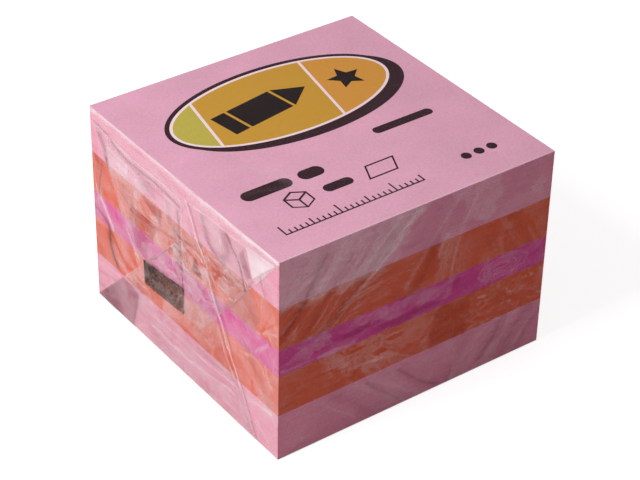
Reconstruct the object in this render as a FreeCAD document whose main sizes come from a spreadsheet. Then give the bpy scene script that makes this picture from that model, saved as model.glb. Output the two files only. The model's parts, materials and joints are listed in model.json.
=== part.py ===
# Sticky note pad: square notes in five runs of colour, sealed in one folded sheet of clear film.
#
# Millimetres, +Z up, with the origin at the middle of the underside. The printed top reads along +X and
# its foot is towards -Y. The film is a tube round the X axis, folded shut over its two X ends.

import FreeCAD, Part
import Sketcher
import math
import os

DRIVING_SIZES = [
    # The pad
    ("note_side", 51.0, "side of a square note"),
    ("note_thickness", 0.09, "one note"),
    ("pink_count", 92, "notes in each pink run"),
    ("orange_count", 81, "notes in each orange run"),
    ("magenta_count", 54, "notes in the magenta run"),
    ("liner_thickness", 0.12, "release liner under the last note"),
    # The film
    ("film_thickness", 0.03, "clear film"),
    ("side_clearance", 0.05, "air between the notes' edges and the film"),
    ("layer_gap", 0.01, "air between folded layers, beyond the ink"),
    ("seam_width", 10.0, "lap of the film's two edges under the pad"),
    ("flap_overlap", 12.6, "how far the bottom flap covers the top flap"),
    ("top_back_slant", 60.0, "top flap's back edge from the rim, in degrees"),
    ("top_front_slant", 50.0, "top flap's front edge from the rim, in degrees"),
    ("bottom_back_slant", 45.0, "bottom flap's back edge from the rim, in degrees"),
    ("bottom_front_slant", 62.0, "bottom flap's front edge from the rim, in degrees"),
    ("bottom_front_foot", 5.5, "front corner to the foot of that edge"),
    # The print on the film's inner face, placed from the notes' edges
    ("ink_thickness", 0.02, "printed ink"),
    ("mark_length", 11.4, "dark mark on the top flap, along Y"),
    ("mark_height", 4.8, "dark mark, along Z"),
    ("mark_back", 14.6, "notes' back edge to the mark"),
    ("mark_margin", 0.3, "mark to the flap's cut edge"),
    ("emblem_side", 4.8, "notes' left and right edges to the emblem's dark outline"),
    ("emblem_back", 5.2, "notes' back edge to that outline"),
    ("emblem_front", 25.0, "notes' front edge to that outline"),
    ("shadow_right", 1.1, "step of the dark shadow along +X"),
    ("shadow_down", 1.2, "step of the dark shadow along -Y"),
    ("outline_width", 0.8, "dark outline"),
    ("border_width", 0.5, "pale border, and the lines between colour fields"),
    ("field_lean", 2.0, "lean of those lines, over half the emblem's height"),
    ("motif_clearance", 1.6, "pencil or star to the ends of its field"),
    ("pencil_left", 3.2, "middle of the emblem to the middle of the pencil, along -X"),
    ("pencil_length", 17.6, "eraser to point"),
    ("pencil_width", 6.0, "across the barrel"),
    ("pencil_point", 5.0, "sharpened cone"),
    ("pencil_eraser", 2.8, "eraser"),
    ("pencil_tilt", 9.0, "turn from +X, in degrees"),
    ("star_radius", 3.2, "star's middle to a point"),
    ("star_waist", 1.5, "star's middle to a notch"),
    ("text_left", 4.7, "notes' left edge to the heading bars and the ruler"),
    ("heading_front", 16.1, "notes' front edge to the middle of the heading bars"),
    ("heading_height", 2.5, "heading bars"),
    ("long_bar", 8.8, "first heading bar"),
    ("short_bar", 4.4, "second heading bar"),
    ("bar_gap", 1.4, "between the heading bars"),
    ("name_right", 7.9, "notes' right edge to the bar under the emblem"),
    ("name_front", 19.9, "notes' front edge to the middle of that bar"),
    ("name_length", 11.4, "that bar"),
    ("name_height", 1.7, "that bar"),
    ("icon_front", 11.3, "notes' front edge to the middle of the pictograms"),
    ("icon_line", 0.3, "line of the pictograms"),
    ("cube_left", 11.5, "notes' left edge to the middle of the cube pictogram"),
    ("cube_edge", 1.9, "inner edge of each of its faces"),
    ("count_left", 16.0, "notes' left edge to the bar between pictograms"),
    ("count_length", 5.2, "that bar"),
    ("count_height", 1.9, "that bar"),
    ("leaf_left", 26.6, "notes' left edge to the middle of the sheet pictogram"),
    ("leaf_width", 5.4, "sheet pictogram"),
    ("leaf_height", 3.4, "sheet pictogram"),
    ("leaf_lean", 1.5, "how far its top leans along +X"),
    ("ruler_front", 4.9, "notes' front edge to the foot of the ruler"),
    ("ruler_line", 0.26, "line of the ruler"),
    ("tick_spacing", 1.0, "between ticks"),
    ("short_tick", 1.1, "a tick"),
    ("middle_tick", 1.7, "each fifth tick"),
    ("long_tick", 2.4, "each tenth tick"),
    ("dot_size", 1.7, "each of the three dots"),
    ("dot_spacing", 2.5, "between the dots' middles"),
    ("dots_right", 6.9, "notes' right edge to the middle of the last dot"),
    ("dots_front", 6.6, "notes' front edge to the middle of the dots"),
]
RULER_TICKS = 25
STAR_POINTS = 5

# Planes that several pieces share, worked out from the driving sizes.
LAYER_PITCH = "(sizes.film_thickness + sizes.ink_thickness + sizes.layer_gap)"
PAD_BOTTOM = f"({LAYER_PITCH} + sizes.film_thickness)"
PINK_HEIGHT = "(sizes.pink_count * sizes.note_thickness)"
ORANGE_HEIGHT = "(sizes.orange_count * sizes.note_thickness)"
MAGENTA_HEIGHT = "(sizes.magenta_count * sizes.note_thickness)"
LINER_TOP = f"({PAD_BOTTOM} + sizes.liner_thickness)"
PAD_TOP = f"({LINER_TOP} + 2 * {PINK_HEIGHT} + 2 * {ORANGE_HEIGHT} + {MAGENTA_HEIGHT})"
CEILING = f"({PAD_TOP} + sizes.ink_thickness)"
WRAP_TOP = f"({CEILING} + sizes.film_thickness)"
NOTE_EDGE = "(sizes.note_side / 2)"
WALL_INSIDE = f"({NOTE_EDGE} + sizes.side_clearance)"
WALL_OUTSIDE = f"({WALL_INSIDE} + sizes.film_thickness)"
FLAP_LENGTH = f"(({WRAP_TOP} + sizes.flap_overlap) / 2)"
EMBLEM_WIDTH = "(sizes.note_side - 2 * sizes.emblem_side)"
EMBLEM_HEIGHT = "(sizes.note_side - sizes.emblem_back - sizes.emblem_front)"
EMBLEM_MIDDLE = f"({NOTE_EDGE} - sizes.emblem_back - {EMBLEM_HEIGHT} / 2)"
TEXT_X, TEXT_Y = f"(-{NOTE_EDGE})", f"(-{NOTE_EDGE})"

# The film's layers over an end, from the notes outwards
TUCKS, TOP_GUSSETS, TOP_FLAP, BOTTOM_GUSSETS, BOTTOM_FLAP = range(5)

doc = FreeCAD.newDocument("sticky_note_pad")


def make_size_sheet():
    """One row for each driving size: its name, its value, with that name as alias, and what it is."""
    sheet = doc.addObject("Spreadsheet::Sheet", "sizes")
    for row, (alias, value, meaning) in enumerate(DRIVING_SIZES, start=1):
        sheet.set(f"A{row}", alias)
        sheet.set(f"B{row}", str(value))
        sheet.setAlias(f"B{row}", alias)
        sheet.set(f"C{row}", meaning)
    doc.recompute()


def layer_inside(number):
    return f"({WALL_INSIDE} + {number} * {LAYER_PITCH})"


def layer_outside(number):
    return f"({layer_inside(number)} + sizes.film_thickness)"


def place(piece, x, y, z):
    for axis, value in (("x", x), ("y", y), ("z", z)):
        piece.setExpression(f"Placement.Base.{axis}", value)


def block(name, low, high):
    """A box between two corners, each given as three expressions."""
    box = doc.addObject("Part::Box", name)
    for side, start, end in zip(("Length", "Width", "Height"), low, high):
        box.setExpression(side, f"({end}) - ({start})")
    place(box, *low)
    return box


def draw_loop(sketch, corners):
    """A closed outline. Each corner is two expressions, measured from the sketch's origin."""
    first = sketch.GeometryCount
    count = len(corners)
    turns = [n * math.tau / count for n in range(count)]
    rough = [FreeCAD.Vector(math.cos(turn), math.sin(turn)) for turn in turns]
    for n in range(count):
        sketch.addGeometry(Part.LineSegment(rough[n], rough[(n + 1) % count]))
    for n, corner in enumerate(corners):
        following = first + (n + 1) % count
        sketch.addConstraint(Sketcher.Constraint("Coincident", first + n, 2, following, 1))
        for direction, expression in zip(("DistanceX", "DistanceY"), corner):
            index = sketch.addConstraint(Sketcher.Constraint(direction, -1, 1, first + n, 1, 1.0))
            sketch.setExpression(f"Constraints[{index}]", expression)


def plate(name, loops, thickness, level, plane="XY_Plane"):
    """A flat solid. The first loop is its outline and the rest are holes."""
    body = doc.addObject("PartDesign::Body", name)
    sketch = body.newObject("Sketcher::SketchObject", f"{name}_sketch")
    support = next(feature for feature in body.Origin.OriginFeatures if feature.Role == plane)
    sketch.AttachmentSupport = [(support, "")]
    sketch.MapMode = "FlatFace"
    for corners in loops:
        draw_loop(sketch, corners)
    pad = body.newObject("PartDesign::Pad", f"{name}_pad")
    pad.Profile = sketch
    pad.setExpression("Length", thickness)
    body.Tip = pad
    place(body, *((level, "0", "0") if plane == "YZ_Plane" else ("0", "0", level)))
    return body


def boolean(kind, name, base, tool):
    result = doc.addObject(f"Part::{kind}", name)
    result.Base = base
    result.Tool = tool
    return result


def fuse(name, pieces):
    result = doc.addObject("Part::MultiFuse", name)
    result.Shapes = pieces
    result.Refine = True
    return result


def group(name, pieces):
    """Separate solids in one node."""
    result = doc.addObject("Part::Compound", name)
    result.Links = pieces
    return result


# The notes


def make_notes():
    """The liner and each colour run, stacked face to face from the bottom."""
    near, far = f"-{NOTE_EDGE}", NOTE_EDGE
    corners = [(near, near), (far, near), (far, far), (near, far)]
    level = PAD_BOTTOM
    nodes = []
    for name, thickness in (
        ("release_liner", "sizes.liner_thickness"),
        ("pink_notes_lower", PINK_HEIGHT),
        ("orange_notes_lower", ORANGE_HEIGHT),
        ("magenta_notes", MAGENTA_HEIGHT),
        ("orange_notes_upper", ORANGE_HEIGHT),
        ("pink_notes_upper", PINK_HEIGHT),
    ):
        nodes.append(plate(name, [corners], thickness, level))
        level = f"({level} + {thickness})"
    return nodes


# The film: its folds over the +X end, drawn in Y and Z


def triangle(name, feet, rim, side, slants, layers):
    """A triangle that stands on a rim between two feet, from its inner to its outer plane along X.
    side is + where it stands up from the rim and - where it hangs."""
    first, second = (f"tan({slant})" for slant in slants)
    along = f"({feet[0]} + ({feet[1]} - {feet[0]}) * {second} / ({first} + {second}))"
    away = f"(({along} - {feet[0]}) * {first})"
    corners = [(feet[0], rim), (feet[1], rim), (along, f"({rim} {side} {away})")]
    return plate(name, [corners], f"({layers[1]} - {layers[0]})", layers[0], "YZ_Plane")


def make_flap(name, rim, side, wall, gusset_layer, feet, slants):
    """A flap of the wall at the rim, with the gussets that its slanted edges fold under it. The first
    foot and slant are the front ones. wall is how thick the film that the flap hangs from is."""
    film = "sizes.film_thickness"
    flap_layer = gusset_layer + 1
    both = (layer_inside(gusset_layer), layer_outside(flap_layer))
    front, back = slants

    whole = triangle(f"{name}_whole", feet, rim, side, slants, both)
    ends = (rim, f"({rim} {side} {FLAP_LENGTH})")
    low, high = ends if side == "+" else reversed(ends)
    strip = block(f"{name}_strip", (both[0], f"-{WALL_OUTSIDE}", low), (both[1], WALL_OUTSIDE, high))
    folded = boolean("Common", f"{name}_folded", whole, strip)
    hollow_feet = (
        f"({feet[0]} + {wall} / tan({front}) + {film} / sin({front}))",
        f"({feet[1]} - {wall} / tan({back}) - {film} / sin({back}))",
    )
    hollow_rim, hollow_planes = f"({rim} {side} {wall})", (both[0], layer_inside(flap_layer))
    hollow = triangle(f"{name}_hollow", hollow_feet, hollow_rim, side, slants, hollow_planes)
    pieces = [boolean("Cut", f"{name}_sheet", folded, hollow)]

    set_back = f"({wall} + sizes.layer_gap)"
    gusset_rim = f"({rim} {side} {set_back})"
    turn_rims = (gusset_rim, f"({gusset_rim} {side} {film})")
    low, high = turn_rims if side == "+" else reversed(turn_rims)
    reach = f"({FLAP_LENGTH} - {set_back})"
    gusset_outside = layer_outside(gusset_layer)
    for end, foot, slant, inward, corner in (
        ("front", feet[0], front, "+", f"-{WALL_OUTSIDE}"),
        ("back", feet[1], back, "-", WALL_OUTSIDE),
    ):
        start = f"({foot} {inward} {set_back} / tan({slant}))"
        far = f"({foot} {inward} {reach})"
        tip = (f"({start} {inward} {reach} / tan({slant}))", f"({gusset_rim} {side} {reach})")
        corners = [(start, gusset_rim), (far, gusset_rim), tip]
        pieces.append(plate(f"{name}_{end}_gusset", [corners], film, both[0], "YZ_Plane"))
        near_y, far_y = (corner, far) if inward == "+" else (far, corner)
        turn_low, turn_high = (layer_inside(TUCKS), near_y, low), (gusset_outside, far_y, high)
        pieces.append(block(f"{name}_{end}_turn", turn_low, turn_high))
    return pieces


def make_film_end():
    """The front and back tucks, then the top flap, and the bottom flap over it."""
    low, high = f"({PAD_BOTTOM} + sizes.layer_gap)", f"({CEILING} - sizes.layer_gap)"
    inner, outer = layer_inside(TUCKS), layer_outside(TUCKS)
    near, far = f"(-{WALL_OUTSIDE})", WALL_OUTSIDE
    tucks = [
        block("front_tuck", (inner, near, low), (outer, f"({near} + {FLAP_LENGTH})", high)),
        block("back_tuck", (inner, f"({far} - {FLAP_LENGTH})", low), (outer, far, high)),
    ]
    top_slants = ("sizes.top_front_slant", "sizes.top_back_slant")
    bottom_slants = ("sizes.bottom_front_slant", "sizes.bottom_back_slant")
    bottom_feet = (f"({near} + sizes.bottom_front_foot)", far)
    top = make_flap("top_flap", WRAP_TOP, "-", "sizes.film_thickness", TOP_GUSSETS, (near, far), top_slants)
    bottom = make_flap("bottom_flap", "0", "+", PAD_BOTTOM, BOTTOM_GUSSETS, bottom_feet, bottom_slants)
    return fuse("film_end", [*tucks, *top, *bottom])


def make_film():
    """The tube with its lapped seam under the pad, and both folded ends, as one sheet."""
    half_seam = "(sizes.seam_width / 2)"
    tuck, top, bottom = (layer_outside(layer) for layer in (TUCKS, TOP_FLAP, BOTTOM_FLAP))
    near, far = f"-{WALL_OUTSIDE}", WALL_OUTSIDE
    tube = [
        block("top_wall", (f"-{top}", near, CEILING), (top, far, WRAP_TOP)),
        block("front_wall", (f"-{tuck}", near, LAYER_PITCH), (tuck, f"-{WALL_INSIDE}", WRAP_TOP)),
        block("back_wall", (f"-{tuck}", WALL_INSIDE, "0"), (tuck, far, WRAP_TOP)),
        block("front_bottom", (f"-{bottom}", near, LAYER_PITCH), (bottom, half_seam, PAD_BOTTOM)),
        block("back_bottom", (f"-{bottom}", f"-{half_seam}", "0"), (bottom, far, "sizes.film_thickness")),
        block("seam_weld", (f"-{bottom}", f"-{half_seam}", "0"), (bottom, half_seam, PAD_BOTTOM)),
    ]
    right_end = make_film_end()
    left_end = doc.addObject("Part::Mirroring", "film_end_left")
    left_end.Source = right_end
    left_end.Normal = FreeCAD.Vector(1, 0, 0)
    return fuse("film_wrap", [*tube, right_end, left_end])


def make_eye_mark():
    """The dark mark that sets the film's cut length, printed inside the left end's top flap."""
    outer = f"(-{layer_inside(TOP_FLAP)})"
    far = f"({NOTE_EDGE} - sizes.mark_back)"
    low = f"({WRAP_TOP} - {FLAP_LENGTH} + sizes.mark_margin)"
    high = f"({low} + sizes.mark_height)"
    inner = f"({outer} + sizes.ink_thickness)"
    return block("eye_mark", (outer, f"({far} - sizes.mark_length)", low), (inner, far, high))


# The print between the top note and the film


def ink_plate(name, *loops):
    return plate(name, loops, "sizes.ink_thickness", PAD_TOP)


def ink_oval(name, width, height, right="0", up="0"):
    rim = doc.addObject("Part::Ellipse", f"{name}_rim")
    rim.setExpression("MajorRadius", f"({width}) / 2")
    rim.setExpression("MinorRadius", f"({height}) / 2")
    place(rim, right, f"{EMBLEM_MIDDLE} + ({up})", PAD_TOP)
    oval = doc.addObject("Part::Extrusion", name)
    oval.Base = rim
    oval.DirMode = "Custom"
    oval.Dir = FreeCAD.Vector(0, 0, 1)
    oval.Solid = True
    oval.setExpression("LengthFwd", "sizes.ink_thickness")
    return oval


def ink_dot(name, x, y, size):
    dot = doc.addObject("Part::Cylinder", name)
    dot.setExpression("Radius", f"({size}) / 2")
    dot.setExpression("Height", "sizes.ink_thickness")
    place(dot, x, y, PAD_TOP)
    return dot


def ink_bar(name, left, middle, length, height):
    """A bar with round ends."""
    start, end = f"({left} + {height} / 2)", f"({left} + {length} - {height} / 2)"
    low, high = f"({middle} - {height} / 2)", f"({middle} + {height} / 2)"
    straight = block(f"{name}_straight", (start, low, PAD_TOP), (end, high, CEILING))
    ends = [ink_dot(f"{name}_start", start, middle, height), ink_dot(f"{name}_end", end, middle, height)]
    return fuse(name, [straight, *ends])


def make_pencil():
    """Eraser, barrel and point, each drawn along the pencil and then turned."""
    half = "(sizes.pencil_width / 2)"
    start, tip = "(-sizes.pencil_length / 2)", "(sizes.pencil_length / 2)"
    eraser_end = f"({start} + sizes.pencil_eraser)"
    barrel_start = f"({eraser_end} + sizes.border_width)"
    cone_start = f"({tip} - sizes.pencil_point)"
    barrel_end = f"({cone_start} - sizes.border_width)"

    def straight(left, right):
        return [(left, f"-{half}"), (right, f"-{half}"), (right, half), (left, half)]

    pieces = [
        ink_plate("pencil_eraser", straight(start, eraser_end)),
        ink_plate("pencil_barrel", straight(barrel_start, barrel_end)),
        ink_plate("pencil_cone", [(cone_start, f"-{half}"), (tip, "0"), (cone_start, half)]),
    ]
    for piece in pieces:
        piece.Placement.Rotation = FreeCAD.Rotation(FreeCAD.Vector(0, 0, 1), 1)
        piece.setExpression("Placement.Rotation.Angle", "sizes.pencil_tilt")
        place(piece, "-sizes.pencil_left", EMBLEM_MIDDLE, PAD_TOP)
    return group("pencil", pieces)


def make_star(middle):
    """A star with one point up."""
    corners = []
    for n in range(2 * STAR_POINTS):
        turn = f"{90 + n * 180 / STAR_POINTS}"
        radius = "sizes.star_waist" if n % 2 else "sizes.star_radius"
        corners.append((f"{radius} * cos({turn})", f"{radius} * sin({turn})"))
    star = ink_plate("star", corners)
    place(star, middle, EMBLEM_MIDDLE, PAD_TOP)
    return star


def make_emblem():
    """An oval badge with a dark outline and shadow, a pale border, and a pencil and a star on colours."""
    line, clearance = "sizes.border_width", "sizes.motif_clearance"
    inner_size = (f"{EMBLEM_WIDTH} - 2 * sizes.outline_width", f"{EMBLEM_HEIGHT} - 2 * sizes.outline_width")
    field_size = (f"{inner_size[0]} - 2 * {line}", f"{inner_size[1]} - 2 * {line}")

    badge = ink_oval("badge", EMBLEM_WIDTH, EMBLEM_HEIGHT)
    shadow_step = ("sizes.shadow_right", "-sizes.shadow_down")
    shadow = ink_oval("badge_shadow", EMBLEM_WIDTH, EMBLEM_HEIGHT, *shadow_step)
    dark = fuse("badge_dark", [badge, shadow])
    outline = boolean("Cut", "print_outline", dark, ink_oval("badge_inside", *inner_size))

    reach = f"(sizes.pencil_length / 2 + {clearance})"
    ochre_start, ochre_end = f"(-sizes.pencil_left - {reach})", f"(-sizes.pencil_left + {reach})"
    orange_start = f"({ochre_end} + {line})"
    star = make_star(f"({orange_start} + {clearance} + sizes.star_radius)")
    motifs = group("print_motifs", [make_pencil(), star])

    low, high = (f"({EMBLEM_MIDDLE} {side} {EMBLEM_HEIGHT} / 2)" for side in "-+")
    bands, fields = [], []
    for colour, start, end in (
        ("lime", f"(-{EMBLEM_WIDTH})", f"({ochre_start} - {line})"),
        ("ochre", ochre_start, ochre_end),
        ("orange", orange_start, EMBLEM_WIDTH),
    ):
        limits = [
            (f"({start} - sizes.field_lean)", low),
            (f"({end} - sizes.field_lean)", low),
            (f"({end} + sizes.field_lean)", high),
            (f"({start} + sizes.field_lean)", high),
        ]
        oval = ink_oval(f"{colour}_oval", *field_size)
        band = boolean("Common", f"{colour}_band", oval, ink_plate(f"{colour}_limits", limits))
        bands.append(band)
        fields.append(boolean("Cut", f"print_{colour}", band, motifs))
    ground = boolean("Cut", "badge_ground", ink_oval("badge_paper", *inner_size), fuse("badge_bands", bands))
    border = boolean("Cut", "print_border", ground, motifs)
    return [outline, border, *fields, motifs]


def make_cube():
    """A cube seen from a corner, as lines round its three faces."""
    x, y = f"({TEXT_X} + sizes.cube_left)", f"({TEXT_Y} + sizes.icon_front)"
    edge, half_line = "sizes.cube_edge", "sizes.icon_line / 2"
    side, rise = f"{edge} * cos(30)", f"{edge} / 2"
    radius = f"({edge} + 3 * {half_line} / cos(30))"
    turns = range(30, 390, 60)
    outline = [(f"{x} + {radius} * cos({turn})", f"{y} + {radius} * sin({turn})") for turn in turns]
    foot = f"{y} + {half_line}"
    shoulder = f"{foot} + {rise}"
    faces = [[(x, foot), (f"{x} + {side}", shoulder), (x, f"{foot} + {edge}"), (f"{x} - {side}", shoulder)]]
    for way in "-+":
        near = f"{x} {way} {half_line}"
        far = f"{near} {way} {side}"
        top = f"{y} - {half_line}"
        low = f"{top} - {edge}"
        faces.append([(near, top), (near, low), (far, f"{low} + {rise}"), (far, f"{top} + {rise}")])
    return ink_plate("cube", outline, *faces)


def make_leaf():
    """One sheet, as a leaning outline."""
    x, y = f"({TEXT_X} + sizes.leaf_left)", f"({TEXT_Y} + sizes.icon_front)"

    def corners(inset):
        wide, tall = f"(sizes.leaf_width / 2 - {inset})", f"(sizes.leaf_height / 2 - {inset})"
        lean = f"({tall} * sizes.leaf_lean / sizes.leaf_height)"
        ways = (("-", "-"), ("+", "-"), ("+", "+"), ("-", "+"))
        return [(f"{x} {across} {wide} {up} {lean}", f"{y} {up} {tall}") for across, up in ways]

    return ink_plate("leaf", corners("0"), corners("sizes.icon_line"))


def make_ruler():
    """A foot line with ticks, every fifth and tenth one longer."""
    left, low = f"({TEXT_X} + sizes.text_left)", f"({TEXT_Y} + sizes.ruler_front)"
    spacing, line = "sizes.tick_spacing", "sizes.ruler_line"
    end = f"{left} + {RULER_TICKS} * {spacing} + {line}"
    lines = [block("ruler_foot", (left, low, PAD_TOP), (end, f"{low} + {line}", CEILING))]
    for tick in range(RULER_TICKS + 1):
        kind = "long" if tick % 10 == 0 else "middle" if tick % 5 == 0 else "short"
        start = f"{left} + {tick} * {spacing}"
        high = f"{low} + sizes.{kind}_tick"
        lines.append(block(f"tick_{tick}", (start, low, PAD_TOP), (f"{start} + {line}", high, CEILING)))
    return fuse("ruler", lines)


def make_small_print():
    heading_left, heading_line = f"({TEXT_X} + sizes.text_left)", f"({TEXT_Y} + sizes.heading_front)"
    short_left = f"({heading_left} + sizes.long_bar + sizes.bar_gap)"
    name_left = f"({NOTE_EDGE} - sizes.name_right - sizes.name_length)"
    name_line = f"({TEXT_Y} + sizes.name_front)"
    count_left, count_line = f"({TEXT_X} + sizes.count_left)", f"({TEXT_Y} + sizes.icon_front)"
    bars = [
        ink_bar("heading_long", heading_left, heading_line, "sizes.long_bar", "sizes.heading_height"),
        ink_bar("heading_short", short_left, heading_line, "sizes.short_bar", "sizes.heading_height"),
        ink_bar("name_bar", name_left, name_line, "sizes.name_length", "sizes.name_height"),
        ink_bar("count_bar", count_left, count_line, "sizes.count_length", "sizes.count_height"),
    ]
    dots = []
    for n in range(3):
        x = f"{NOTE_EDGE} - sizes.dots_right - {n} * sizes.dot_spacing"
        dots.append(ink_dot(f"dot_{n}", x, f"{TEXT_Y} + sizes.dots_front", "sizes.dot_size"))
    return group("print_small", [*bars, make_cube(), make_leaf(), make_ruler(), *dots])


def stop_on_failure(nodes):
    failed = [f"{item.Label}: {item.State}" for item in doc.Objects if {"Invalid", "Error"} & set(item.State)]
    for node in nodes:
        if node.Shape.isNull() or not node.Shape.isValid() or not node.Shape.Solids:
            failed.append(f"{node.Label}: no valid solid")
    if failed:
        raise RuntimeError("; ".join(failed))


make_size_sheet()
nodes = [*make_notes(), make_film(), make_eye_mark(), *make_emblem(), make_small_print()]
doc.recompute()
stop_on_failure(nodes)
os.makedirs("parts", exist_ok=True)
for node in nodes:
    node.Shape.exportStep(f"parts/{node.Label}.step")
    box = node.Shape.BoundBox
    print(f"{node.Label}: {len(node.Shape.Solids)} solids, z {box.ZMin:.3f} to {box.ZMax:.3f}")
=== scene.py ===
import json
import math

import bmesh
import bpy
import numpy as np
from mathutils import Matrix, Vector


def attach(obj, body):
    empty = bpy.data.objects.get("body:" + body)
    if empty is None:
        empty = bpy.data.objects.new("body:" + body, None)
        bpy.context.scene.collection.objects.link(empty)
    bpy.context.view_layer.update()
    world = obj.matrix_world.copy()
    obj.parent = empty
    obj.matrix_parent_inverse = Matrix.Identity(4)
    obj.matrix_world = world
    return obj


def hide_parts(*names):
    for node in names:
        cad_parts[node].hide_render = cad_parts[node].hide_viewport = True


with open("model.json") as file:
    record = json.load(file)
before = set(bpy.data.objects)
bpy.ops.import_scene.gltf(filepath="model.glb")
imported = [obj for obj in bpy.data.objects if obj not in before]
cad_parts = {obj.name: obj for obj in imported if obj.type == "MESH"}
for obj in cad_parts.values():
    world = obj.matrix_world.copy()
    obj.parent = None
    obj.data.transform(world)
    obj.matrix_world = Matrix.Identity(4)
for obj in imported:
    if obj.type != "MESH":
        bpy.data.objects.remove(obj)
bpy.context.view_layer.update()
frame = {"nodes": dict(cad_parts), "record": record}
nodes = frame["nodes"]
mm = 0.001
print("frame loaded:", len(nodes), "nodes")

# the block of notes and the planes that the film lies on, in millimetres
block = {
    "side": 51.0,  # side of a note
    "half": 25.5,  # half of it
    "top": 36.21,  # top sheet
    "wallOut": 25.575,  # film on the front and back
    "topOut": 36.255,  # film over the print
    "bottomUpper": 0.075,  # film under the front half
    "bottomLower": 0.005,  # film under the back half, which laps over the other
    "lap": 5.0,  # half the width of the lap under the pad
    "corner": 0.06,  # rounding of the film over the edges
    "wallHigh": 36.2,  # height of the front and back panels
}


# fields over a sheet of film, in millimetres of the panel
def lineDistance(u, v, points):
    best = np.full(u.shape, 1e9)
    for (ax, ay), (bx, by) in zip(points[:-1], points[1:]):
        dx, dy = bx - ax, by - ay
        t = np.clip(((u - ax) * dx + (v - ay) * dy) / (dx * dx + dy * dy + 1e-9), 0, 1)
        best = np.minimum(best, np.hypot(u - ax - t * dx, v - ay - t * dy))
    return best


def patchMask(u, v, corners, soft):
    inside = np.full(u.shape, 1e9)
    sides = list(zip(corners, corners[1:] + corners[:1]))
    turn = 1.0 if sum(ax * by - bx * ay for (ax, ay), (bx, by) in sides) > 0 else -1.0
    for (ax, ay), (bx, by) in sides:
        dx, dy = bx - ax, by - ay
        inside = np.minimum(inside, turn * (dx * (v - ay) - dy * (u - ax)) / math.hypot(dx, dy))
    return np.clip(inside / soft + 0.5, 0, 1)


def softNoise(u, v, size, seed, waves=14):
    rng = np.random.default_rng(seed)
    total = np.zeros(u.shape)
    for angle, phase, stretch in zip(rng.uniform(0, math.pi, waves), rng.uniform(0, 2 * math.pi, waves),
                                     rng.uniform(0.6, 1.7, waves)):
        k = 2 * math.pi / (size * stretch)
        total += np.sin(k * (u * math.cos(angle) + v * math.sin(angle)) + phase)
    return total / math.sqrt(waves / 2)


def waver(along, u, v, seed, waves):
    for k, (amount, size, count) in enumerate(waves):
        along = along + amount * softNoise(u, v, size, seed + k, count)
    return along


# marks: kind, width, veil, painted shade, lift and points; a blob has its centre and its radii as points;
# painted shade darkens the clear film along creases and folds
def kindOf(kind):
    return lambda width, veil, paintedShade, lift, *points: (kind, width, veil, paintedShade, lift, points)


line, patch, cloud = kindOf("line"), kindOf("patch"), kindOf("cloud")


def blob(veil, paintedShade, lift, centre, radii):
    return "blob", 0, veil, paintedShade, lift, (centre, radii)


def ring(cx, cy, rx, ry, width, veil, lift):
    turns = [math.radians(a) for a in range(0, 361, 20)]
    return line(width, veil, 0.0, lift, *((cx + rx * math.cos(a), cy + ry * math.sin(a)) for a in turns))


# how the creases of a group differ: ranges of shares, and spreads
strayVary = {"length": (0.4, 1.0), "bend": 0.08, "strength": (0.35, 1.0), "pale": 0.6, "width": (0.6, 1.4)}
bundleVary = {
    "place": (0.15, 0.85),  # within its own strip between the guides
    "shift": 0.05,
    "cut": 0.5,  # chance that it stops a point short, and that this is its last one
    "strength": (0.4, 1.0), "pale": 0.7, "dark": -0.6, "width": (0.6, 1.5),
}


def strayCreases(seed, count, box, angle, spread, length, width, veil, lift):
    # short straight creases, the kind that thin film takes wherever it is gathered
    rng = np.random.default_rng(seed)
    vary = strayVary
    made = []
    for _ in range(count):
        cu, cv = rng.uniform(box[0], box[1]), rng.uniform(box[2], box[3])
        a = math.radians(angle + rng.normal(0, spread))
        half = rng.uniform(*vary["length"]) * length / 2
        bend = rng.normal(0, vary["bend"]) * half
        du, dv = math.cos(a) * half, math.sin(a) * half
        strength = rng.uniform(*vary["strength"])
        sign = 1 if rng.random() < vary["pale"] else -1
        middle = (cu - dv * bend / half, cv + du * bend / half)
        made.append(line(width * rng.uniform(*vary["width"]), sign * veil * strength, 0.0,
                         sign * lift * strength, (cu - du, cv - dv), middle, (cu + du, cv + dv)))
    return made


def bundle(seed, count, width, veil, lift, first, last):
    # creases that run side by side between two guides
    rng = np.random.default_rng(seed)
    vary = bundleVary
    made = []
    for k in range(count):
        f = (k + rng.uniform(*vary["place"])) / count
        shift = rng.normal(0, vary["shift"])
        points = [(a[0] + (b[0] - a[0]) * (f + shift * (i % 2)), a[1] + (b[1] - a[1]) * (f + shift * (i % 2)))
                  for i, (a, b) in enumerate(zip(first, last))]
        if rng.random() < vary["cut"]:
            points = points[:-1] if rng.random() < vary["cut"] else points[1:]
        strength = rng.uniform(*vary["strength"])
        sign = 1 if rng.random() < vary["pale"] else vary["dark"]
        made.append(line(width * rng.uniform(*vary["width"]), sign * veil * strength, 0.0,
                         sign * lift * strength, *points))
    return made


def smoothed(points):
    # a curve through the points, so that a long crease bends and has no corners
    if len(points) < 3:
        return points
    padded = [points[0], *points, points[-1]]
    made = []
    for p, q, r, t in zip(padded, padded[1:], padded[2:], padded[3:]):
        for f in (0, 1 / 3, 2 / 3):
            made.append(tuple(0.5 * (2 * q[i] + (r[i] - p[i]) * f
                                     + (2 * p[i] - 5 * q[i] + 4 * r[i] - t[i]) * f * f
                                     + (3 * q[i] - p[i] - 3 * r[i] + t[i]) * f ** 3) for i in range(2)))
    return made + [points[-1]]


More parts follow.
